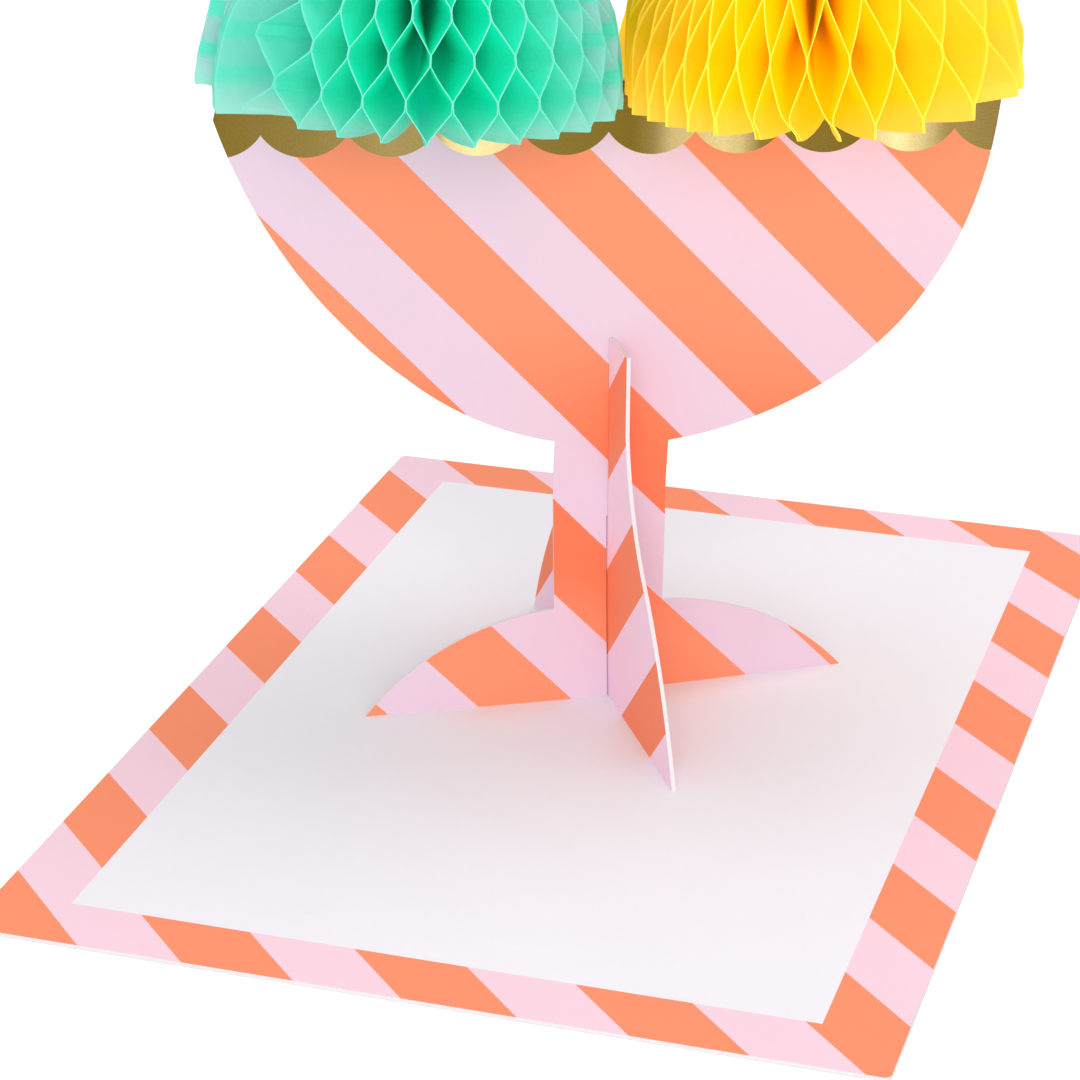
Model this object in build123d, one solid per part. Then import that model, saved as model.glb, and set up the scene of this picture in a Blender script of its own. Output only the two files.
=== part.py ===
"""Stand-up birthday card: a board sundae with honeycomb tissue scoops, slotted together and stood on a flat card.

Frame: origin at the centre of the card's underside, X along its short side, Y along its long side, Z up.
Every board piece is drawn flat, as it is cut, then stood up on its own plane. All lengths are in millimetres.
"""

import os
from math import cos, hypot, radians, sin, sqrt, tan

from build123d import *

# The flat card underneath: a 5 by 7 inch board.
card_width = 127.0
card_depth = 177.8
card_thickness = 0.6
card_corner_radius = 1.0

# Board of the sundae, and how its two pieces stand on the card.
board_thickness = 0.6
stand_x = -0.9
stand_y = 6.4
sundae_angle = 20.5
cross_angle = 122.5
slot_clearance = 0.05

# Outline of the sundae: bowl, stem and foot.
rim_height = 97.6
bowl_bottom = 41.1
bowl_half_width = 58.1
bowl_half_height = 65.8
stem_width = 17.0
foot_half_width = 38.0
foot_instep = (25.5, 10.0)
ankle_height = 14.8

# Outline of the cross piece that props the stem from front and back.
cross_height = 58.2
cross_top_half_width = 9.4
cross_waist = (9.2, 46.0)
cross_hollow = (12.4, 35.0)
cross_knee = (20.0, 24.4)
cross_calf = (28.6, 12.3)
cross_toe_half_width = 34.4
slot_meeting_height = 29.5

# Honeycomb scoops: a fan of tissue leaves on each face of the board, glued leaf to leaf in short stripes.
scoop_radius = 29.4
scoop_gap = 0.4
scoop_drop = 0.6
scoops_middle = 0.8
mint_lean = -3.8
yellow_lean = 1.7
tab_margin = 2.2
leaf_thickness = 0.4
glue_stripe = 1.6
core_radius = 6.0
mint_leaves = 27
mint_glue_spacing = 5.67
mint_first_glue = 0.0
yellow_leaves = 32
yellow_glue_spacing = 7.55
yellow_first_glue = 2.86

scoop_base = rim_height - scoop_drop


def standing_plane(angle):
    """Upright plane through the crossing line: local x along the piece, local y up from the card's top."""
    a = radians(angle)
    return Plane(
        origin=(stand_x, stand_y, card_thickness),
        x_dir=(cos(a), sin(a), 0),
        z_dir=(sin(a), -cos(a), 0),
    )


def slot_width():
    """Width of a slot that lets a board of the same thickness pass at the crossing angle."""
    crossing = radians(cross_angle - sundae_angle)
    return board_thickness * (1 + abs(cos(crossing))) / sin(crossing) + 2 * slot_clearance


def slot(bottom, top):
    """Flat shape of a slot on the crossing line, from one height to another."""
    return Pos(0, (bottom + top) / 2) * Rectangle(slot_width(), top - bottom)


def cut_from_board(outline):
    """Board piece of one outline, centred on its plane."""
    return extrude(outline, amount=board_thickness / 2, both=True)


def make_card():
    outline = RectangleRounded(card_width, card_depth, card_corner_radius)
    return extrude(outline, amount=card_thickness)


def scoop_middle(side):
    """Where a scoop's middle comes across the board: side -1 is left and 1 is right, seen from the front."""
    return scoops_middle + side * (scoop_radius + scoop_gap / 2)


def sundae_outline():
    above_rim = Pos(0, rim_height + bowl_half_height) * Rectangle(4 * bowl_half_width, 2 * bowl_half_height)
    bowl = Pos(0, bowl_bottom + bowl_half_height) * Ellipse(bowl_half_width, bowl_half_height) - above_rim
    tab_radius = scoop_radius - tab_margin
    tabs = Sketch() + [
        Pos(scoop_middle(side), rim_height) * Circle(tab_radius) & above_rim for side in (-1, 1)
    ]
    stem_top = (rim_height + bowl_bottom) / 2
    stem = Pos(0, stem_top / 2) * Rectangle(stem_width, stem_top)
    return bowl + tabs + stem + foot_outline()


def foot_outline():
    """Foot like a low hill with its peak in the stem and sharp toes."""
    edge = stem_width / 2
    right = ThreePointArc((edge, ankle_height), foot_instep, (foot_half_width, 0))
    left = mirror(right, about=Plane.YZ)
    base = Line((-foot_half_width, 0), (foot_half_width, 0))
    top = Line((-edge, ankle_height), (edge, ankle_height))
    return make_face([right, base, left, top])


def cross_outline():
    """Tall piece with an ogee down each side, spreading into the front and back toes."""
    shoulder = (cross_top_half_width, cross_height)
    toe = (cross_toe_half_width, 0)
    right = [
        Line(shoulder, cross_waist),
        ThreePointArc(cross_waist, cross_hollow, cross_knee),
        ThreePointArc(cross_knee, cross_calf, toe),
    ]
    left = [mirror(edge, about=Plane.YZ) for edge in right]
    top = Line((-cross_top_half_width, cross_height), shoulder)
    base = Line((-cross_toe_half_width, 0), toe)
    return make_face([*right, *left, top, base])


def make_sundae():
    outline = sundae_outline() - slot(-1, slot_meeting_height + slot_clearance)
    return standing_plane(sundae_angle) * cut_from_board(outline)


def make_cross():
    outline = cross_outline() - slot(slot_meeting_height - slot_clearance, cross_height + 1)
    return standing_plane(cross_angle) * cut_from_board(outline)


def solid_of(faces):
    """Closed solid bounded by flat faces, each given by its corners."""
    return Solid(Shell([Face(Wire.make_polygon(corners)) for corners in faces]))


def leaf_ring(leaf_count, height):
    """Points where the leaves meet the half ball's surface at a height, from +X round to -X."""
    radius = sqrt(scoop_radius**2 - height**2)
    turns = [radians(i * 180 / leaf_count) for i in range(leaf_count + 1)]
    return [(radius * cos(turn), radius * sin(turn), height) for turn in turns]


def make_dome(leaf_count, glue_spacing, first_glue):
    """Half ball with its flat side on the XZ plane, faceted at each leaf and twice in each glue spacing."""
    heights = [0.0]
    height = first_glue if first_glue > 0 else glue_spacing / 2
    while height < scoop_radius:
        heights.append(height)
        height += glue_spacing / 2
    rings = [leaf_ring(leaf_count, height) for height in heights]
    top = (0, 0, scoop_radius)
    base = rings[0]
    back = [ring[0] for ring in rings] + [top] + [ring[-1] for ring in reversed(rings)]
    faces = [base, back]
    for low, high in zip(rings, rings[1:]):
        faces += [[low[i], low[i + 1], high[i + 1], high[i]] for i in range(leaf_count)]
    faces += [[rings[-1][i], rings[-1][i + 1], top] for i in range(leaf_count)]
    return solid_of(faces)


def cell_section(distance, leaf_count, glue_spacing):
    """Six corners of an open cell at a distance from the scoop's axis, in order from its peak."""
    half_width = distance * tan(radians(180 / leaf_count))
    rise = glue_spacing - glue_stripe / 2
    slant = hypot(half_width, rise - glue_stripe / 2)
    inset = leaf_thickness / 2
    peak = rise - inset * slant / half_width
    side = half_width - inset
    shoulder = glue_stripe / 2 * side / half_width
    return [
        (distance, 0, peak),
        (distance, side, shoulder),
        (distance, side, -shoulder),
        (distance, 0, -peak),
        (distance, -side, -shoulder),
        (distance, -side, shoulder),
    ]


def make_cell(leaf_count, glue_spacing):
    """Space between two leaves from one glue stripe to the next, along +X, narrowing to the core."""
    inner = cell_section(core_radius, leaf_count, glue_spacing)
    outer = cell_section(scoop_radius + 1, leaf_count, glue_spacing)
    faces = [inner, outer]
    # A leaf twists between two glue stripes, so each sloping wall folds from its high inner to its low outer end.
    for high, low in ((0, 1), (0, 5), (2, 3), (4, 3)):
        faces.append([inner[high], outer[high], outer[low]])
        faces.append([inner[high], outer[low], inner[low]])
    # The glued sides stand upright.
    for high, low in ((1, 2), (5, 4)):
        faces.append([inner[high], outer[high], outer[low], inner[low]])
    return solid_of(faces)


def make_half_scoop(leaf_count, glue_spacing, first_glue):
    """Honeycomb half ball: the cells of one glue level sit between those of the level below."""
    dome = make_dome(leaf_count, glue_spacing, first_glue)
    first_leaf = dome & Pos(0, leaf_thickness / 2, scoop_radius / 2) * Box(
        2 * scoop_radius, leaf_thickness, scoop_radius
    )
    cell = make_cell(leaf_count, glue_spacing)
    levels = range(-1 if first_glue > 0 else 0, int((scoop_radius - first_glue) / glue_spacing) + 1)
    cells = [
        Rot(0, 0, i * 180 / leaf_count) * Pos(0, 0, first_glue + level * glue_spacing) * cell
        for level in levels
        for i in range(leaf_count + 1)
        if (i + level) % 2
    ]
    return dome - cells + first_leaf


def place_scoop(half_scoop, side, front, lean=0):
    """Half scoop glued to one face of the sundae, its right side raised by the lean in degrees."""
    turn = 180 if front else 0
    out = board_thickness / 2 * (1 if front else -1)
    spot = standing_plane(sundae_angle) * Pos(scoop_middle(side), scoop_base, out) * Rot(0, 0, lean)
    return spot * Rot(-90, 0, 0) * Rot(0, 0, turn) * half_scoop


mint = make_half_scoop(mint_leaves, mint_glue_spacing, mint_first_glue)
yellow = make_half_scoop(yellow_leaves, yellow_glue_spacing, yellow_first_glue)
pieces = {
    "base_card": make_card(),
    "sundae_panel": make_sundae(),
    "cross_stand": make_cross(),
    "mint_scoop_front": place_scoop(mint, -1, True, mint_lean),
    "mint_scoop_back": place_scoop(mint, -1, False),
    "yellow_scoop_front": place_scoop(yellow, 1, True, yellow_lean),
    "yellow_scoop_back": place_scoop(yellow, 1, False),
}

os.makedirs("parts", exist_ok=True)
for name, piece in pieces.items():
    export_step(piece, f"parts/{name}.step")
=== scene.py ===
"""Looks of the stand-up birthday card: printed boards, a foil rim and honeycomb tissue scoops.

Lengths are in metres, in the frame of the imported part: origin at the centre of the card's underside, X along
its short side, Y along its long side, Z up. The two standing boards are printed flat and then bent a little,
as handling bends them.
"""

from math import atan2, cos, exp, pi, radians, sin

import bmesh
import bpy
import numpy as np
from mathutils import Matrix, Vector


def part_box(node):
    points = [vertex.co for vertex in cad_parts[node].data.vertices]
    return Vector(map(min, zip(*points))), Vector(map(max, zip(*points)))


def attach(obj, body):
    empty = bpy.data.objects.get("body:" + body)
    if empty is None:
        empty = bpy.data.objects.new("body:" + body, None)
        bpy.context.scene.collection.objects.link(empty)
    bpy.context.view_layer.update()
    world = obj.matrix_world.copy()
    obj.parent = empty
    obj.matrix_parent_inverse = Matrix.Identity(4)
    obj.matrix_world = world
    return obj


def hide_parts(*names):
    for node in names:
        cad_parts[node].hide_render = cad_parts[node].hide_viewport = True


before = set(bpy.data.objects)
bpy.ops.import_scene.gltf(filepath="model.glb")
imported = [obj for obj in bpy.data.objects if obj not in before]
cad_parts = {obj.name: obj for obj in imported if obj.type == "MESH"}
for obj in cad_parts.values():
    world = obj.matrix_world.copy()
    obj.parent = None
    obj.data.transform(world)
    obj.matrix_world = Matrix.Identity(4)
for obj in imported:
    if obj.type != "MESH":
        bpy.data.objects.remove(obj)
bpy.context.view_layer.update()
MM = 0.001

# The card's corners and its upper face. The two standing boards are cut from the same stock.
CARD_LOW, CARD_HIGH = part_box("base_card")
CARD_TOP = CARD_HIGH.z
BOARD_HALF = CARD_TOP / 2

# Colours as linear red, green and blue: the print, the bare board, the foil, the tissue and the stage.
CORAL = (0.96, 0.285, 0.150, 1)
PINK = (0.92, 0.640, 0.745, 1)
BOWL_PINK = (0.78, 0.590, 0.705, 1)
# Painted shade: the stem's coral, deeper than the bowl's.
STEM_SHADE_CORAL = (0.98, 0.205, 0.092, 1)
STAND_PINK = (1.00, 0.720, 0.860, 1)
STAND_CORAL = (1.00, 0.275, 0.140, 1)
WHITE_BOARD = (0.86, 0.85, 0.91, 1)
RAW_BOARD = (0.80, 0.76, 0.79, 1)
# The foil's dark colour is a painted reflection of a dark room, and its glint a painted reflection of light.
FOIL_DARK_REFLECTION = (0.160, 0.106, 0.014, 1)
FOIL_PAINTED_GLINT = (0.86, 0.70, 0.33, 1)
MINT_DEEP = (0.02, 0.83, 0.61, 1)
# Painted light on the mint: a paler side colour, a paler foot, and a highlight along the cut edge.
MINT_SIDE_LIGHT = (0.56, 0.68, 0.68, 1)
MINT_FOOT_LIGHT = (0.57, 0.78, 0.72, 1)
MINT_RIM_HIGHLIGHT = (0.38, 0.82, 0.73, 1)
MINT_GLOW = (0.0, 0.19, 0.155, 1)
YELLOW_DEEP = (1.00, 0.66, 0.0, 1)
# Painted light on the yellow: a paler side colour, a paler foot, and a highlight along the cut edge.
YELLOW_SIDE_LIGHT = (1.00, 0.60, 0.12, 1)
YELLOW_FOOT_LIGHT = (1.00, 0.68, 0.20, 1)
YELLOW_RIM_HIGHLIGHT = (1.00, 0.82, 0.18, 1)
YELLOW_GLOW = (0.40, 0.36, 0.0, 1)
# Painted shade on the yellow where it meets the mint.
YELLOW_PAINTED_SHADE = (0.47, 0.29, 0.01, 1)
WHITE_LIGHT = (1, 1, 1, 1)
PALE_FLOOR = (0.86, 0.86, 0.86, 1)


# ---------------------------------------------------------------- node trees

class Wire:
    """An output in a node tree. Arithmetic on it adds Math nodes, and node() adds any other node."""

    def __init__(self, tree, socket=None):
        self.tree = tree
        self.socket = socket

    def node(self, kind, settings=(), inputs=(), output=0):
        """Adds a node: its settings first, then the values or wires of its sockets. Returns one output."""
        made = self.tree.nodes.new(kind)
        for name, value in dict(settings).items():
            if name == "curve":
                set_curve(made.mapping, value)
            else:
                setattr(made, name, value)
        for name, value in dict(inputs).items():
            socket = find_socket(made.inputs, name)
            if isinstance(value, Wire):
                self.tree.links.new(value.socket, socket)
            else:
                socket.default_value = value
        return Wire(self.tree, find_socket(made.outputs, output))

    def beside(self, output):
        """Another output of the node that this wire comes from."""
        return Wire(self.tree, self.socket.node.outputs[output])

    def parts(self):
        """The X, Y and Z of a vector."""
        split = self.node("ShaderNodeSeparateXYZ", {}, {"Vector": self}, "X")
        return [split.beside(axis) for axis in "XYZ"]

    def math(self, operation, *terms):
        return self.node("ShaderNodeMath", {"operation": operation}, dict(enumerate(terms)))

    def __add__(self, other):
        return self.math("ADD", self, other)

    def __radd__(self, other):
        return self.math("ADD", other, self)

    def __sub__(self, other):
        return self.math("SUBTRACT", self, other)

    def __rsub__(self, other):
        return self.math("SUBTRACT", other, self)

    def __mul__(self, other):
        return self.math("MULTIPLY", self, other)

    def __rmul__(self, other):
        return self.math("MULTIPLY", other, self)

    def __truediv__(self, other):
        return self.math("DIVIDE", self, other)

    def __pow__(self, exponent):
        return self.math("POWER", self, exponent)

    def __gt__(self, other):
        return self.math("GREATER_THAN", self, other)

    def __lt__(self, other):
        return self.math("LESS_THAN", self, other)

    def root(self):
        return self.math("SQRT", self)

    def size(self):
        return self.math("ABSOLUTE", self)

    def sine(self):
        return self.math("SINE", self)

    def cosine(self):
        return self.math("COSINE", self)

    def arcsine(self):
        return self.math("ARCSINE", self)

    def at_least(self, limit):
        return self.math("MAXIMUM", self, limit)

    def at_most(self, limit):
        return self.math("MINIMUM", self, limit)

    def repeat(self, period):
        """Remainder after whole periods, never negative."""
        return self.math("FLOORED_MODULO", self, period)

    def to_and_fro(self):
        """Goes up from 0 to 1 and down again as the number grows by 2."""
        return self.math("PINGPONG", self, 1.0)

    def both(self, mask):
        return self * mask

    def either(self, mask):
        return self.at_least(mask)

    def ramp(self, low, high, start=0.0, end=1.0, smooth=True):
        """Maps low..high to start..end, held at both ends."""
        settings = {"interpolation_type": "SMOOTHSTEP" if smooth else "LINEAR"}
        return self.node("ShaderNodeMapRange", settings, {0: self, 1: low, 2: high, 3: start, 4: end})


def find_socket(sockets, name):
    """A socket by its number, its identifier or its name."""
    if isinstance(name, int):
        return sockets[name]
    by_identifier = [s for s in sockets if s.identifier == name]
    return by_identifier[0] if by_identifier else sockets[name]


def set_curve(mapping, points):
    """Draws straight runs through the points of a curve node."""
    curve = mapping.curves[0]
    while len(curve.points) < len(points):
        curve.points.new(0.5, 0.5)
    for point, place in zip(curve.points, points):
        point.location = place
        point.handle_type = "VECTOR"
    mapping.update()


def mix(a, b, share):
    """Colour that goes from a to b as share goes from 0 to 1."""
    inputs = {"Factor_Float": share, "A_Color": a, "B_Color": b}
    return share.node("ShaderNodeMix", {"data_type": "RGBA"}, inputs, "Result_Color")


def scaled(colour, amount):
    """Colour, or offset, times an amount that varies."""
    if isinstance(colour, tuple):
        colour = colour[:3]
    inputs = {"Vector": colour, "Scale": amount}
    return amount.node("ShaderNodeVectorMath", {"operation": "SCALE"}, inputs, "Vector")


def noise(tree, place, waves, detail=2.0, roughness=0.5, stretch=(1, 1, 1)):
    """Cloudy pattern with so many waves in each metre, from 0 to 1."""
    stretched = tree.node("ShaderNodeMapping", {}, {"Vector": place, "Scale": stretch}, "Vector")
    inputs = {"Vector": stretched, "Scale": waves, "Detail": detail, "Roughness": roughness}
    return tree.node("ShaderNodeTexNoise", {}, inputs, "Fac")


def bump(tree, height, distance, strength=1.0):
    """Surface normal of a height pattern, whose full height is a distance in metres."""
    inputs = {"Height": height, "Distance": distance, "Strength": strength}
    return tree.node("ShaderNodeBump", {}, inputs, "Normal")


def object_place(tree):
    return tree.node("ShaderNodeTexCoord", {}, {}, "Object")


def new_material(name):
    """Empty material, and a wire to build its tree from."""
    material = bpy.data.materials.new(name)
    material.use_nodes = True
    material.node_tree.nodes.clear()
    return material, Wire(material.node_tree)


def finish_tree(shader, kind="ShaderNodeOutputMaterial"):
    """Makes a shader the surface of its material or world."""
    end = shader.tree.nodes.new(kind)
    shader.tree.links.new(shader.socket, end.inputs["Surface"])


# ---------------------------------------------------------------- printed board

FIBRE_DEPTH = 0.02 * MM
INK_DEPTH = 0.02 * MM
PRINT_WANDER = 0.12 * MM

# Painted shade on the stem: its coral is deeper and redder than the bowl's. The heights over which the shade
# sets in, and fades again.
STEM_SHADE_SETS_IN = (CARD_TOP + 8 * MM, CARD_TOP + 24 * MM)
STEM_SHADE_FADES = (CARD_TOP + 36 * MM, CARD_TOP + 62 * MM)

# Painted sheen on the foil, where its slight waves would catch the light: millimetres across from the crossing
# line, and how strongly.
FOIL_PAINTED_SHEEN = (
    (-60, 0.0), (-44, 0.08), (-31, 0.2), (-26, 0.15), (-23.5, 0.7), (-19.5, 0.9), (-15.5, 0.7), (-12, 0.05),
    (3, 0.0), (6, 0.1), (8.5, 0.38), (12, 0.5), (16, 0.62), (19, 0.45), (21.5, 0.05), (36.5, 0.0), (38, 0.6),
    (41, 0.95), (45, 0.5), (48.5, 0.15), (60, 0.05),
)


def board_surface(tree, place, colour, foil=None, roughness=0.72):
    """Shader of printed matt board with a fine uneven tooth; foil is the mask of its gold."""
    coarse = noise(tree, place, 900, 3.0)
    fine = noise(tree, place, 5200)
    fibre = 0.45 * coarse + 0.55 * fine
    blotch = noise(tree, place, 60)
    inputs = {
        "Base Color": scaled(colour, 0.955 + fibre * 0.06 + blotch * 0.03),
        "Roughness": roughness + fibre * 0.1,
        "Specular IOR Level": 0.25,
        "Normal": bump(tree, fibre, FIBRE_DEPTH, 0.6),
    }
    if foil is not None:
        dull = noise(tree, place, 2600, 3.0, stretch=(1, 0.35, 1))
        inputs["Roughness"] = inputs["Roughness"] * (1 - foil) + (0.30 + dull * 0.16) * foil
        inputs["Metallic"] = foil
    return tree.node("ShaderNodeBsdfPrincipled", {}, inputs, "BSDF")


def stripes(tree, place, across, first_coral, coral_width, period, pink=PINK, coral=CORAL):
    """Coral and pink stripes: across is the distance over them, and a coral one starts at first_coral."""
    ragged = (noise(tree, place, 1500) - 0.5) * PRINT_WANDER
    phase = (across - first_coral + ragged).repeat(period)
    return mix(pink, coral, phase < coral_width)


def card_print(name, front_margin, back_margin, side_margin, **stripe_sizes):
    """White card with a striped border; its cut edges and its underside stay white."""
    material, tree = new_material(name)
    place = object_place(tree)
    x, y, z = place.parts()
    border = stripes(tree, place, x + y - (CARD_LOW.x + CARD_LOW.y), **stripe_sizes)
    inside_x = x.size() < CARD_HIGH.x - side_margin
    inside_y = (y > CARD_LOW.y + front_margin).both(y < CARD_HIGH.y - back_margin)
    face = mix(border, WHITE_BOARD, inside_x.both(inside_y))
    printed = z > CARD_TOP - INK_DEPTH
    finish_tree(board_surface(tree, place, mix(RAW_BOARD, face, printed)))
    return material


def cut_place(tree):
    """Where a point of a board lay before it was bent: as a vector, across from the crossing line, and up."""
    place = tree.node("ShaderNodeUVMap", {"uv_map": "cut"}, {}, "UV")
    across, up, _ = place.parts()
    return place, across, up


def gold(tree, place, across):
    """Faintly streaked foil whose dark colour is a painted reflection, with painted sheen where its waves
    would catch the light.
    """
    first = FOIL_PAINTED_SHEEN[0][0]
    span = FOIL_PAINTED_SHEEN[-1][0] - first
    waves = [((middle - first) / span, strength) for middle, strength in FOIL_PAINTED_SHEEN]
    along_rim = (across / MM - first) / span
    painted_sheen = tree.node("ShaderNodeFloatCurve", {"curve": waves}, {"Value": along_rim}, "Value")
    streak = noise(tree, place, 420, 3.0, stretch=(1, 0.2, 1))
    grain = noise(tree, place, 3600)
    return scaled(mix(FOIL_DARK_REFLECTION, FOIL_PAINTED_GLINT, painted_sheen * (0.8 + streak * 0.4)), 0.75 + grain * 0.5)


def scalloped_edge(across, first, pitch, bottom, depth):
    """Height of an edge of round scallops: first is the middle of one, and bottom their lowest point."""
    from_middle = (across - first + pitch / 2).repeat(pitch) - pitch / 2
    radius = (pitch**2 / 4 + depth**2) / (2 * depth)
    return bottom + radius - (radius**2 - from_middle * from_middle).root()


def sundae_print(name, slope, rim, scallops, **stripe_sizes):
    """Striped bowl, stem and foot, with a scalloped foil rim and white tabs."""
    material, tree = new_material(name)
    place, across, up = cut_place(tree)
    # Painted shade deepens the coral on the stem.
    stem_shade = up.ramp(*STEM_SHADE_SETS_IN) - up.ramp(*STEM_SHADE_FADES)
    coral = mix(CORAL, STEM_SHADE_CORAL, stem_shade)
    board = stripes(tree, place, across + up * slope, **stripe_sizes, pink=BOWL_PINK, coral=coral)
    foil = (up > scalloped_edge(across, **scallops)).both(up < rim)
    colour = mix(mix(board, gold(tree, place, across), foil), WHITE_BOARD, up > rim)
    finish_tree(board_surface(tree, place, colour, foil))
    return material


def stand_print(name, **stripe_sizes):
    """Striped cross piece."""
    material, tree = new_material(name)
    place, across, up = cut_place(tree)
    colour = stripes(tree, place, up + across, **stripe_sizes, pink=STAND_PINK, coral=STAND_CORAL)
    finish_tree(board_surface(tree, place, colour))
    return material


def raw_edge(name):
    """Cut edge of board: white layers of pressed fibre."""
    material, tree = new_material(name)
    finish_tree(board_surface(tree, object_place(tree), RAW_BOARD, roughness=0.85))
    return material


# ---------------------------------------------------------------- tissue

# Where the tissue's colour changes. Sides run from 0 at the fan's middle to 1 where it meets the board, turns
# from 0 at its first leaf to 1 at its last, and a leaf's arc from 0 at its foot to 1 at its top.
# Painted light towards the sides and low down, and a painted highlight along the cut edge.
SIDE_LIGHT_SPAN = (0.22, 0.95)
FOOT_LIGHT_ARC = (0.0, 0.13)
RIM_HIGHLIGHT_INSET = (0.10 * MM, 0.42 * MM)
# Painted shade beside the other scoop: across the card, over the turns and up the arc.
SHADE_ACROSS = (-2 * MM, 26 * MM)
SHADE_TURNS = (0.45, 0.7)
SHADE_ARC = (0.02, 0.3)
GLOW_DEPTH = (4 * MM, 16 * MM)
GLOW_ARC = (0.05, 0.35)
WRINKLE_DEPTH = 0.2 * MM
LIGHT_THROUGH = 0.45


def tissue(name, deep, side_light, low, edge, glow, shaded=None):
    """Thin coloured tissue that lets light through and glows a little.

    It has painted light towards both sides of the fan and low down, a painted highlight along its cut edge and
    paler creases towards the sides, is deeper where a neighbour is glued on, and has painted shade, if a
    colour for that is given, where it is crowded against the other scoop.
    """
    material, tree = new_material(name)
    # The glow is too faint to count as a lamp.
    material.cycles.emission_sampling = "NONE"
    place = object_place(tree)
    inset, arc, turn, glued = (
        tree.node("ShaderNodeAttribute", {"attribute_name": label}, {}, "Fac")
        for label in ("inset", "rise", "turn", "glued")
    )
    fibre = noise(tree, place, 1400, 4.0, 0.6)
    crumple = noise(tree, place, 150, 2.0, 0.7)
    wrinkle = noise(tree, place, 330, 3.0)

    # Painted light: paler towards both sides of the fan, less so where a neighbour is glued on.
    outer = ((turn - 0.5).size() * 2).ramp(*SIDE_LIGHT_SPAN)
    doubled = glued * outer * 0.65
    creased = crumple.ramp(0.50, 0.75, 0.0, 0.25) * outer * (1 - doubled)
    # Painted light low down on each leaf; the creases towards the sides take the same paler colour.
    foot_light = arc.ramp(*FOOT_LIGHT_ARC, 0.85, 0.0)
    colour = mix(mix(deep, side_light, outer * (1 - doubled)), low, foot_light.either(creased))
    if shaded is not None:
        # Painted shade where the yellow is crowded against the mint.
        near_other = place.parts()[0].ramp(*SHADE_ACROSS, 1.0, 0.0)
        painted_shade = near_other * turn.ramp(*SHADE_TURNS) * arc.ramp(*SHADE_ARC, 0.3, 1.0)
        colour = mix(colour, shaded, painted_shade)
    # Painted highlight along the cut edge.
    colour = mix(colour, edge, inset.ramp(*RIM_HIGHLIGHT_INSET, 1.0, 0.0) * (1 - outer * 0.7))
    colour = scaled(colour, 0.95 + fibre * 0.1)

    reached = inset.ramp(*GLOW_DEPTH, 1.0, 0.1).either(arc.ramp(*GLOW_ARC, 1.0, 0.0))
    normal = bump(tree, wrinkle + crumple * outer * 2 + fibre * 0.15, WRINKLE_DEPTH, 0.6)
    inputs = {
        "Base Color": colour,
        "Roughness": 0.8,
        "Specular IOR Level": 0.12,
        "Normal": normal,
        "Emission Color": scaled(glow, reached),
        "Emission Strength": 1.0,
    }
    front = tree.node("ShaderNodeBsdfPrincipled", {}, inputs, "BSDF")
    through = tree.node("ShaderNodeBsdfTranslucent", {}, {"Color": colour, "Normal": normal}, "BSDF")
    finish_tree(tree.node("ShaderNodeMixShader", {}, {0: LIGHT_THROUGH, 1: front, 2: through}, "Shader"))
    return material


# ---------------------------------------------------------------- boards

def board_line(node):
    """Middle and direction, seen from above, of a flat upright board."""
    places = np.array([v.co.xy for v in node.data.vertices])
    middle = places.mean(0)
    return middle, np.linalg.svd(places - middle, full_matrices=False)[2][0]


def crossing(first, second):
    """Point, seen from above, where two boards meet."""
    (a, along_a), (b, along_b) = first, second
    reach = np.linalg.solve(np.column_stack([along_a, -along_b]), b - a)
    return a + along_a * reach[0]


SUNDAE_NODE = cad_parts["sundae_panel"]
STAND_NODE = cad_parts["cross_stand"]
sundae_line = board_line(SUNDAE_NODE)
stand_line = board_line(STAND_NODE)
AXIS = crossing(sundae_line, stand_line)
SUNDAE_WAY = sundae_line[1] * np.sign(sundae_line[1][0])
STAND_WAY = stand_line[1] * np.sign(stand_line[1][1])
SUNDAE_HEADING = atan2(SUNDAE_WAY[1], SUNDAE_WAY[0])
STAND_HEADING = atan2(STAND_WAY[1], STAND_WAY[0])

# How handling has twisted the boards. The sundae's bowl and its two feet turn from the flat board's line, and
# the stem blends them. Below the top of its slot the board strays sideways, more on its left than on its
# right. The rear half of the cross piece turns just behind the crossing.
BOWL_TURN = radians(-1.2)
LEFT_FOOT_TURN = radians(7.7)
RIGHT_FOOT_TURN = radians(12.0)
FOOT_TOP = CARD_TOP + 8 * MM
BOWL_START = CARD_TOP + 42 * MM
SLOT_TOP = CARD_TOP + 29.5 * MM
LEFT_STRAY = -1.33 * MM
RIGHT_STRAY = 0.29 * MM
REAR_STAND_TURN = radians(3.5)
REAR_STAND_BEND = 8 * MM

# How far across the left tab and the left horn of the bowl are cut, and the heights where they start.
TAB_BASE = CARD_TOP + 98 * MM
LEFT_TAB = 54 * MM
HORN_BASE = CARD_TOP + 92.5 * MM
LEFT_HORN = 55.7 * MM

# How far off the print's middle the sundae was cut, in millimetres: height above the card, and shift.
OFF_CENTRE = ((36, 0.0), (42, 0.3), (52, 1.85), (60, 1.9), (72, 1.1), (84, 0.05), (92, -0.75), (98, -1.2))

# How finely a board is divided to bend it, and what counts as one face, one place and one side of a cut.
BOARD_PITCH = 4 * MM
FLAT_ENOUGH = radians(0.5)
SAME_PLACE = 0.001 * MM
SAME_SIDE = 0.0001 * MM


def smooth(value, low, high):
    """Goes from 0 to 1 between low and high, with a soft start and end."""
    t = float(np.clip((value - low) / (high - low), 0, 1))
    return t * t * (3 - 2 * t)


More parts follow.
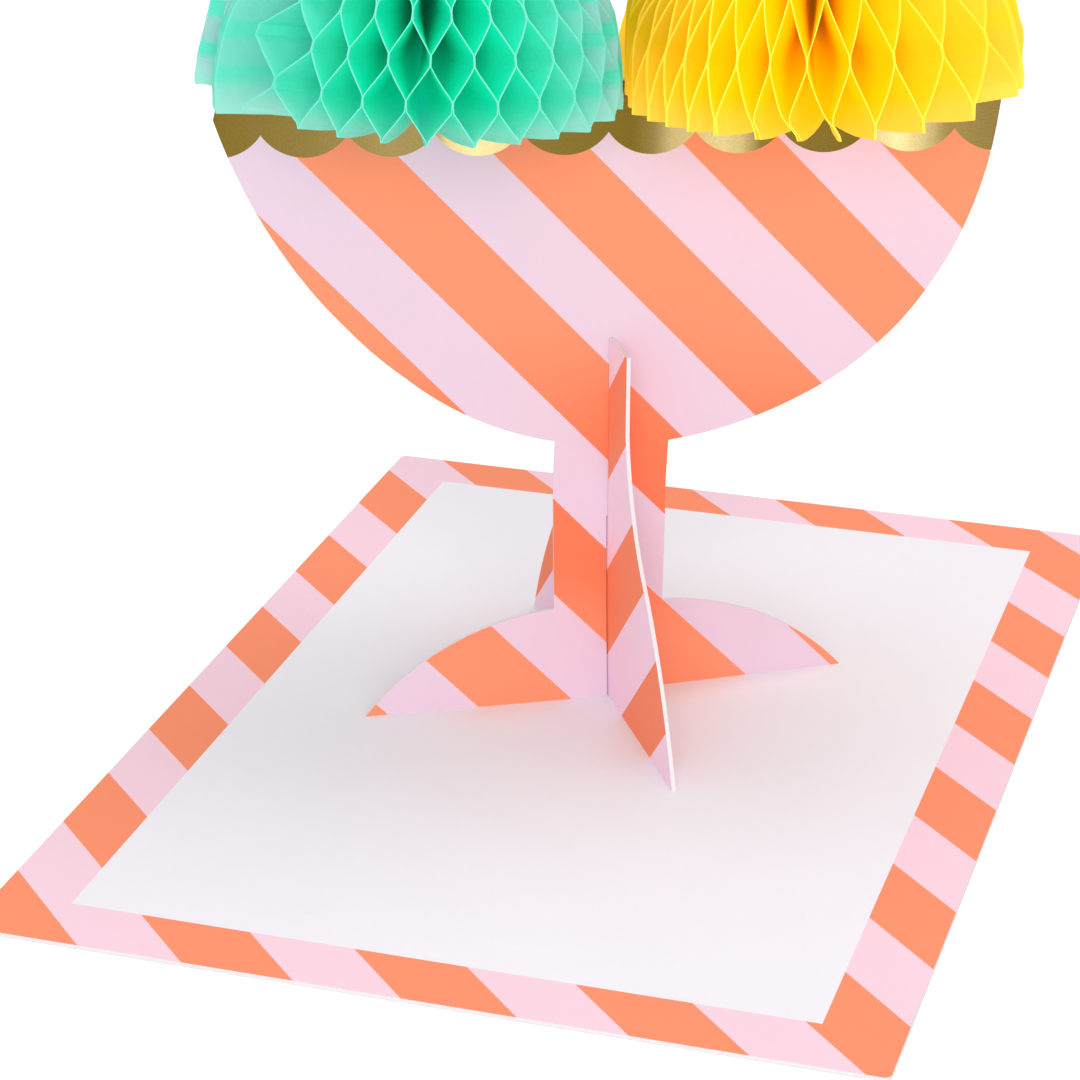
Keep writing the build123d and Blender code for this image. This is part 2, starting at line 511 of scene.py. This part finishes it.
def bend_sundae(across, up):
    foot_turn, stray = (LEFT_FOOT_TURN, LEFT_STRAY) if across < 0 else (RIGHT_FOOT_TURN, RIGHT_STRAY)
    turn = foot_turn + (BOWL_TURN - foot_turn) * smooth(up, FOOT_TOP, BOWL_START)
    below_slot_top = max(0.0, 1 - (up - CARD_TOP) / (SLOT_TOP - CARD_TOP))
    return SUNDAE_HEADING + turn, stray * below_slot_top**2


def bend_stand(across, up):
    return STAND_HEADING + REAR_STAND_TURN * smooth(across, 0, REAR_STAND_BEND), 0.0


def trim_sundae(across, up):
    """The outline wanders round the print's middle, and its left tab and horn are cut short."""
    shift = float(np.interp((up - CARD_TOP) / MM, *zip(*OFF_CENTRE))) * MM
    if up > TAB_BASE:
        across = max(across, -LEFT_TAB)
    elif up > HORN_BASE:
        across = max(across, -LEFT_HORN)
    return across + shift


def trim_stand(across, up):
    return across


def add_object(name, data):
    made = bpy.data.objects.new(name, data)
    bpy.context.scene.collection.objects.link(made)
    return made


def divide(work, centre, along):
    """Divides a flat board across and upwards, finely enough to bend it."""
    for direction in (along, Vector((0, 0, 1))):
        reach = [(v.co - centre).dot(direction) for v in work.verts]
        first = np.ceil(min(reach) / BOARD_PITCH) * BOARD_PITCH
        for step in np.arange(first, max(reach), BOARD_PITCH):
            bmesh.ops.bisect_plane(
                work,
                geom=work.verts[:] + work.edges[:] + work.faces[:],
                plane_co=centre + direction * float(step),
                plane_no=direction,
                dist=SAME_SIDE,
            )


def mark_faces(work, centre, along, side):
    """Tells a board's broad faces from its cut edge, and notes where each point lies on the flat board."""
    cut = work.loops.layers.uv.new("cut")
    for polygon in work.faces:
        polygon.material_index = 0 if abs(polygon.normal.dot(side)) > 0.5 else 1
        for loop in polygon.loops:
            offset = loop.vert.co - centre
            loop[cut].uv = (offset.dot(along), offset.z)


def bent_board(name, node, heading, bend, trim, face, edge):
    """Copy of a flat board, printed on its faces and bent.

    bend takes how far a point lies across from the crossing line and up, and returns its heading and its
    sideways shift. trim takes the same and returns how far across the board is really cut there.
    """
    along = Vector((cos(heading), sin(heading), 0))
    side = Vector((-sin(heading), cos(heading), 0))
    centre = Vector((*AXIS, 0))
    work = bmesh.new()
    work.from_mesh(node.data)
    bmesh.ops.remove_doubles(work, verts=work.verts, dist=SAME_PLACE)
    bmesh.ops.dissolve_limit(work, angle_limit=FLAT_ENOUGH, verts=work.verts, edges=work.edges)
    divide(work, centre, along)
    for vert in work.verts:
        across = (vert.co - centre).dot(along)
        vert.co += along * (trim(across, vert.co.z) - across)
    bmesh.ops.dissolve_degenerate(work, edges=work.edges, dist=SAME_PLACE)
    mark_faces(work, centre, along, side)
    for vert in work.verts:
        offset = vert.co - centre
        across, depth, up = offset.dot(along), offset.dot(side), offset.z
        turned, shift = bend(across, up)
        way = np.array((cos(turned), sin(turned)))
        normal = np.array((-sin(turned), cos(turned)))
        vert.co = (*(AXIS + way * across + normal * (depth + shift)), up)
    mesh = bpy.data.meshes.new(name)
    work.to_mesh(mesh)
    work.free()
    mesh.materials.append(face)
    mesh.materials.append(edge)
    return add_object(name, mesh)


# The first coral stripe's start is measured over the stripes, from the foot of the crossing line.
SUNDAE_SLOPE = 0.95
sundae_face = sundae_print(
    "sundae_print",
    slope=SUNDAE_SLOPE,
    first_coral=7.95 * MM + CARD_TOP * SUNDAE_SLOPE,
    coral_width=14.6 * MM,
    period=28.55 * MM,
    rim=CARD_TOP + 97.3 * MM,
    scallops={"first": -44.35 * MM, "pitch": 12.517 * MM, "bottom": CARD_TOP + 86.3 * MM, "depth": 3.4 * MM},
)
stand_face = stand_print(
    "stand_print",
    first_coral=5.9 * MM + CARD_TOP,
    coral_width=14.6 * MM,
    period=29.2 * MM,
)
board_edge = raw_edge("raw_board_edge")
sundae = bent_board(
    "sundae_board", SUNDAE_NODE, SUNDAE_HEADING, bend_sundae, trim_sundae, sundae_face, board_edge
)
stand = bent_board("stand_board", STAND_NODE, STAND_HEADING, bend_stand, trim_stand, stand_face, board_edge)
for piece, node in ((sundae, "sundae_panel"), (stand, "cross_stand")):
    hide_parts(node)
    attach(piece, "root")

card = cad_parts["base_card"]
card.data.materials.clear()
card.data.materials.append(
    card_print(
        "card_print",
        front_margin=10.1 * MM,
        back_margin=9.5 * MM,
        side_margin=11.0 * MM,
        first_coral=31.45 * MM,
        coral_width=15.83 * MM,
        period=30.8 * MM,
    )
)


# ---------------------------------------------------------------- honeycomb scoops

SCOOP_BASE, SCOOP_TOP = (corner.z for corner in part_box("mint_scoop_back"))
SCOOP_RADIUS = SCOOP_TOP - SCOOP_BASE
BOWL_HEADING = SUNDAE_HEADING + BOWL_TURN
LEAF_WALL = 0.14 * MM

# A leaf's arc stops just short of the axis, so that the leaves don't meet in one point. Where two leaves are
# glued they almost touch, and a leaf's points crowd towards its cut edge.
TOP_LIFT = radians(88.7)
GLUED_SHARE = 0.96
CROWDING = 1.7

# How high up a foot's sway reaches, how many leaves past the curled one it ends, and the waves of the creases
# in each metre.
SWAY_HEIGHT = 5 * MM
SWAYED_LEAVES = 7.0
COARSE_CREASES = 95
FINE_CREASES = 210

# What every fan takes: whole numbers, and sizes. Glue runs in stripes round the fan, and Start says which
# neighbour the first leaf is glued to at the first of them. The skirt is how much higher a leaf's foot is
# at its outer edge than at its core. Pressed leaves lie flat and aren't pulled open. The curled leaf's foot
# curls aside, and those after it sway aside, a little less with each leaf.
FAN_COUNTS = ("Leaves", "Rows", "Rings", "Start")
FAN_SIZES = (
    "Radius", "Skirt", "Core", "Glue Spacing", "First Glue", "Glue Stripe", "Crease", "Side Crease",
    "Right Pressed", "Left Pressed", "Sway", "Curled Leaf", "Curl",
)
BOTH_SCOOPS = {
    "Rows": 61,
    "Rings": 9,
    "Start": 1,
    "Skirt": 3.9 * MM,
    "Core": 0.6 * MM,
    "Glue Stripe": 1.6 * MM,
    "Crease": 0.35 * MM,
    "Side Crease": 0.7 * MM,
}
MINT = {
    **BOTH_SCOOPS,
    "Leaves": 27,
    "Radius": SCOOP_RADIUS + 0.2 * MM,
    "Glue Spacing": 5.75 * MM,
    "First Glue": -0.2 * MM,
    "Right Pressed": 1.5,
    "Left Pressed": 5.5,
    "Sway": 0.0,
    "Curled Leaf": 0.0,
    "Curl": 0.0,
}
YELLOW = {
    **BOTH_SCOOPS,
    "Leaves": 32,
    "Radius": SCOOP_RADIUS + 0.3 * MM,
    "Glue Spacing": 9.0 * MM,
    "First Glue": 1.4 * MM,
    "Right Pressed": 5.5,
    "Left Pressed": -1.0,
    "Sway": 2.3 * MM,
    "Curled Leaf": 13.5,
    "Curl": 1.6 * MM,
}
# How far each fan has turned at some of its leaves, in degrees: mint lies pressed to the board on its left.
MINT_OPENING = ((0, 0), (5.5, 37.5), (13, 85.5), (19.5, 124), (20.5, 134), (21.48, 146), (22, 169), (27, 180))
YELLOW_OPENING = (
    (0, 0), (5, 14), (6.5, 38), (7.5, 48.5), (9.5, 66.5), (11.5, 80.4), (13.5, 92.5), (15.5, 104.2),
    (17.5, 113.3), (19.5, 123.5), (21.5, 132), (25.5, 147), (29.5, 164), (32, 180),
)


def shares(opening):
    """Leaves and degrees as shares of the whole fan and of the half turn."""
    return [(leaf / opening[-1][0], turn / opening[-1][1]) for leaf, turn in opening]


def keep(geometry, label, value):
    """Stores a number at each point of a mesh under a name."""
    inputs = {"Geometry": geometry, "Name": label, "Value": value}
    return geometry.node("GeometryNodeStoreNamedAttribute", {"data_type": "FLOAT"}, inputs, "Geometry")


def recall(tree, label):
    return tree.node("GeometryNodeInputNamedAttribute", {"data_type": "FLOAT"}, {"Name": label}, "Attribute")


def position(tree):
    return tree.node("GeometryNodeInputPosition", {}, {}, "Position")


def vector(tree, x, y=0.0, z=0.0):
    return tree.node("ShaderNodeCombineXYZ", {}, {"X": x, "Y": y, "Z": z}, "Vector")


def push(geometry, offset):
    return geometry.node("GeometryNodeSetPosition", {}, {"Geometry": geometry, "Offset": offset}, "Geometry")


def crease(geometry, where, waves, amount):
    """Pushes points by a cloudy pattern with so many waves in each metre, up to an amount each way."""
    inputs = {"Vector": where, "Scale": waves, "Detail": 1.0}
    cloud = geometry.node("ShaderNodeTexNoise", {}, inputs, "Color")
    middle = {0: cloud, 1: (0.5, 0.5, 0.5)}
    centred = geometry.node("ShaderNodeVectorMath", {"operation": "SUBTRACT"}, middle, "Vector")
    return push(geometry, scaled(centred, amount * 2))


def fan_group(name):
    """Node group with a fan's inputs, and a wire from each of them."""
    group = bpy.data.node_groups.new(name, "GeometryNodeTree")
    for label in FAN_COUNTS:
        group.interface.new_socket(label, in_out="INPUT", socket_type="NodeSocketInt")
    for label in FAN_SIZES:
        group.interface.new_socket(label, in_out="INPUT", socket_type="NodeSocketFloat")
    group.interface.new_socket("Tissue", in_out="INPUT", socket_type="NodeSocketMaterial")
    group.interface.new_socket("Geometry", in_out="OUTPUT", socket_type="NodeSocketGeometry")
    entry = group.nodes.new("NodeGroupInput")
    return group, {s.name: Wire(group, s) for s in entry.outputs if s.name}


def flat_leaves(tree, given):
    """The fan's leaves, numbered: still unit squares that lie on one another."""
    inputs = {"Size X": 1.0, "Size Y": 1.0, "Vertices X": given["Rings"], "Vertices Y": given["Rows"]}
    leaf = tree.node("GeometryNodeMeshGrid", {}, inputs, "Mesh")
    out, rise, _ = position(tree).parts()
    leaf = keep(keep(leaf, "out", out + 0.5), "rise", rise + 0.5)
    line = tree.node("GeometryNodeMeshLine", {}, {"Count": given["Leaves"] + 1, "Offset": (0, 0, 0)}, "Mesh")
    line = keep(line, "leaf", tree.node("GeometryNodeInputIndex", {}, {}, "Index"))
    leaves = tree.node("GeometryNodeInstanceOnPoints", {}, {"Points": line, "Instance": leaf}, "Instances")
    return tree.node("GeometryNodeRealizeInstances", {}, {"Geometry": leaves}, "Geometry")


def fan_tree(name, opening):
    """Geometry nodes: tissue leaves that fan out round an upright axis, glued to their neighbours in turn.

    The half ball stands on its flat side. Leaf 0 lies along +X, the last one along -X, and the fan opens to
    -Y. opening gives how far the fan has turned, as a share of the half turn, at some shares of its leaves.
    """
    group, given = fan_group(name)
    tree = Wire(group)
    radius, skirt = given["Radius"], given["Skirt"]
    fan = flat_leaves(tree, given)
    out, rise, leaf = (recall(tree, label) for label in ("out", "rise", "leaf"))

    # Each leaf swings half a step towards the neighbour that it is glued to, level by level.
    climb = (rise * (pi / 2)).sine() * radius
    level = (climb.at_least(given["First Glue"]) - given["First Glue"]) / given["Glue Spacing"]
    swing = (level + given["Start"] + leaf).to_and_fro()
    held = given["Glue Stripe"] / given["Glue Spacing"] * 0.5
    swing = swing.ramp(held, 1 - held, smooth=False)
    from_right = (leaf - given["Right Pressed"]).ramp(-0.5, 0.5)
    from_left = (given["Leaves"] - given["Left Pressed"] - leaf).ramp(-0.5, 0.5)
    share = (leaf + (0.5 - swing) * GLUED_SHARE * from_right * from_left) / given["Leaves"]
    share = share.at_least(0.0).at_most(1.0)
    angle = tree.node("ShaderNodeFloatCurve", {"curve": opening}, {"Value": share}, "Value") * pi

    # Leaves pressed to the board on the left keep their whole length. The others are drawn up at their edge.
    start = (skirt / radius).arcsine() * (from_left - 1)
    lift = start + (TOP_LIFT - start) * rise
    edge = lift.cosine() * radius
    reach = 1 - (1 - out) ** CROWDING
    core = edge.at_most(given["Core"])
    distance = core + (edge - core) * reach
    drawn_up = skirt * from_left * (1 - reach * reach) * (1 - rise)
    height = lift.sine() * radius + skirt - drawn_up
    spot = vector(tree, distance * angle.cosine(), distance * angle.sine() * -1, height)
    fan = tree.node("GeometryNodeSetPosition", {}, {"Geometry": fan, "Position": spot}, "Geometry")

    # The feet of the curled leaf and of those after it hang aside.
    where = position(tree)
    beyond = leaf - given["Curled Leaf"]
    curled = beyond.size() < 1
    swayed = (beyond > 1) * beyond.ramp(1.0, SWAYED_LEAVES, 1.0, 0.0)
    hanging = climb.ramp(0.0, SWAY_HEIGHT, 1.0, 0.0)
    fan = push(fan, vector(tree, hanging * hanging * (swayed * given["Sway"] + curled * given["Curl"])))

    # Creases: the same push for leaves that touch, stronger towards both sides of the fan.
    sideways = (0.5 - share).size().ramp(0.25, 0.5)
    loose = distance / radius
    fan = crease(fan, where, COARSE_CREASES, given["Crease"] * loose)
    fan = crease(fan, where, FINE_CREASES, given["Side Crease"] * loose * sideways)

    fan = keep(fan, "inset", edge - distance)
    fan = keep(fan, "turn", share)
    fan = keep(fan, "glued", (swing - 0.5).size().ramp(0.3, 0.5))
    fan = tree.node("GeometryNodeSetMaterial", {}, {"Geometry": fan, "Material": given["Tissue"]}, "Geometry")
    end = group.nodes.new("NodeGroupOutput")
    group.links.new(fan.socket, end.inputs[0])
    return group


def fan_of_tissue(name, group, sizes, material, place):
    """Half scoop made by the fan's nodes, given its thickness and put in place as a plain mesh."""
    maker = add_object(name + "_maker", bpy.data.meshes.new(name + "_maker"))
    fan = maker.modifiers.new("fan", "NODES")
    fan.node_group = group
    for socket in group.interface.items_tree:
        if socket.in_out == "INPUT":
            fan[socket.identifier] = material if socket.name == "Tissue" else sizes[socket.name]
    wall = maker.modifiers.new("wall", "SOLIDIFY")
    wall.thickness = LEAF_WALL
    wall.offset = 0
    ready = maker.evaluated_get(bpy.context.evaluated_depsgraph_get())
    mesh = bpy.data.meshes.new_from_object(ready)
    mesh.name = name
    bpy.data.objects.remove(maker)
    mesh.transform(place)
    return add_object(name, mesh)


def press(mesh, side, limit, give=1.0 * MM):
    """Squashes tissue softly against the other scoop, which starts at a limit measured across the bowl."""
    way = Vector((cos(BOWL_HEADING), sin(BOWL_HEADING), 0))
    start = Vector((*AXIS, 0)) + way * limit
    for vertex in mesh.vertices:
        room = (vertex.co - start).dot(way) * side
        if room < give:
            vertex.co += way * side * (give * exp(room / give - 1) - room)


FANS = {
    "mint": fan_tree("mint_fan", shares(MINT_OPENING)),
    "yellow": fan_tree("yellow_fan", shares(YELLOW_OPENING)),
}
TISSUES = {
    "mint": tissue("mint_tissue", MINT_DEEP, MINT_SIDE_LIGHT, MINT_FOOT_LIGHT, MINT_RIM_HIGHLIGHT, MINT_GLOW),
    "yellow": tissue(
        "yellow_tissue", YELLOW_DEEP, YELLOW_SIDE_LIGHT, YELLOW_FOOT_LIGHT, YELLOW_RIM_HIGHLIGHT, YELLOW_GLOW, YELLOW_PAINTED_SHADE
    ),
}


def glue_scoop(colour, half, sizes, middle, drop, meets, lean=0):
    """Glues a half scoop to one face of the board.

    middle is how far across the bowl it sits, drop how far its foot hangs below the rim, meets where it is
    squashed against the other scoop, and lean the angle by which its right side is raised.
    """
    turn, out = (0, -BOARD_HALF) if half == "front" else (pi, BOARD_HALF)
    on_board = Matrix.Translation((middle, out, SCOOP_BASE - drop)) @ Matrix.Rotation(-lean, 4, "Y")
    bowl = Matrix.Translation((*AXIS, 0)) @ Matrix.Rotation(BOWL_HEADING, 4, "Z")
    place = bowl @ on_board @ Matrix.Rotation(turn, 4, "Z")
    piece = fan_of_tissue(f"{colour}_tissue_{half}", FANS[colour], sizes, TISSUES[colour], place)
    press(piece.data, 1 if middle > 0 else -1, meets)
    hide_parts(f"{colour}_scoop_{half}")
    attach(piece, "root")


glue_scoop("mint", "front", MINT, middle=-27.9 * MM, drop=4.2 * MM, meets=1.5 * MM, lean=radians(-3.8))
glue_scoop("mint", "back", MINT, middle=-29.9 * MM, drop=3.6 * MM, meets=-0.1 * MM)
glue_scoop("yellow", "front", YELLOW, middle=29.0 * MM, drop=4.1 * MM, meets=1.55 * MM, lean=radians(1.7))
glue_scoop("yellow", "back", YELLOW, middle=29.9 * MM, drop=3.6 * MM, meets=0.1 * MM)


# ---------------------------------------------------------------- stage, light and camera

# The floor lies a hair under the card, and is whitened from one distance from the card to another.
FLOOR_REACH = 6.0
FLOOR_DROP = 0.05 * MM
WHITENED = (0.4, 1.6)
LAMP_AIM = (0, 0, 0.06)


def seen(tree):
    """Mask of what the camera sees, straight, mirrored or through glass."""
    path = tree.node("ShaderNodeLightPath", {}, {}, "Is Camera Ray")
    return path.either(path.beside("Is Glossy Ray")).either(path.beside("Is Transmission Ray"))


def stage_floor():
    """Plain pale floor that looks white where no shadow falls on it."""
    material, tree = new_material("floor")
    matt = tree.node("ShaderNodeBsdfDiffuse", {}, {"Color": PALE_FLOOR}, "BSDF")
    distance = tree.node("ShaderNodeVectorMath", {"operation": "LENGTH"}, {0: object_place(tree)}, "Value")
    lifted = seen(tree) * distance.ramp(*WHITENED, 0.3, 1.0)
    lift = tree.node("ShaderNodeEmission", {}, {"Color": WHITE_LIGHT, "Strength": lifted}, "Emission")
    finish_tree(tree.node("ShaderNodeAddShader", {}, {0: matt, 1: lift}, "Shader"))
    mesh = bpy.data.meshes.new("floor")
    corners = [(x * FLOOR_REACH, y * FLOOR_REACH, 0) for x, y in ((-1, -1), (1, -1), (1, 1), (-1, 1))]
    mesh.from_pydata(corners, [], [(0, 1, 2, 3)])
    mesh.materials.append(material)
    floor = add_object("floor", mesh)
    floor.location.z = -FLOOR_DROP


def white_surround(strength):
    """Even soft light from all round, which looks plain white to the camera."""
    world = bpy.data.worlds.new("studio")
    bpy.context.scene.world = world
    world.use_nodes = True
    world.node_tree.nodes.clear()
    tree = Wire(world.node_tree)
    shown = strength + seen(tree) * (1 - strength)
    shine = tree.node("ShaderNodeBackground", {}, {"Color": WHITE_LIGHT, "Strength": shown}, "Background")
    finish_tree(shine, "ShaderNodeOutputWorld")


def soft_lamp(name, spot, size, power):
    """Round lamp that faces the card."""
    light = bpy.data.lights.new(name, "AREA")
    light.shape = "DISK"
    light.size = size
    light.energy = power
    lamp = add_object(name, light)
    lamp.location = spot
    lamp.rotation_euler = (Vector(LAMP_AIM) - Vector(spot)).to_track_quat("-Z", "Y").to_euler()


def add_camera(spot, heading, fall, lens):
    """Level camera: heading is its turn from +Y towards -X, and fall how far it looks down."""
    data = bpy.data.cameras.new("camera")
    data.lens = lens
    data.sensor_width = 36
    data.clip_start = 0.01
    camera = add_object("camera", data)
    camera.location = spot
    camera.rotation_euler = (pi / 2 - fall, 0, heading)
    bpy.context.scene.camera = camera


stage_floor()
white_surround(strength=0.61)
soft_lamp("front_lamp", spot=(0.45, -1.25, 0.56), size=1.1, power=10)
soft_lamp("top_lamp", spot=(0.2, 0.25, 1.6), size=1.2, power=8.5)
add_camera(spot=(0.12773, -0.44359, 0.22894), heading=radians(17.23), fall=radians(23.44), lens=112.05)
bpy.context.scene.view_settings.view_transform = "Standard"
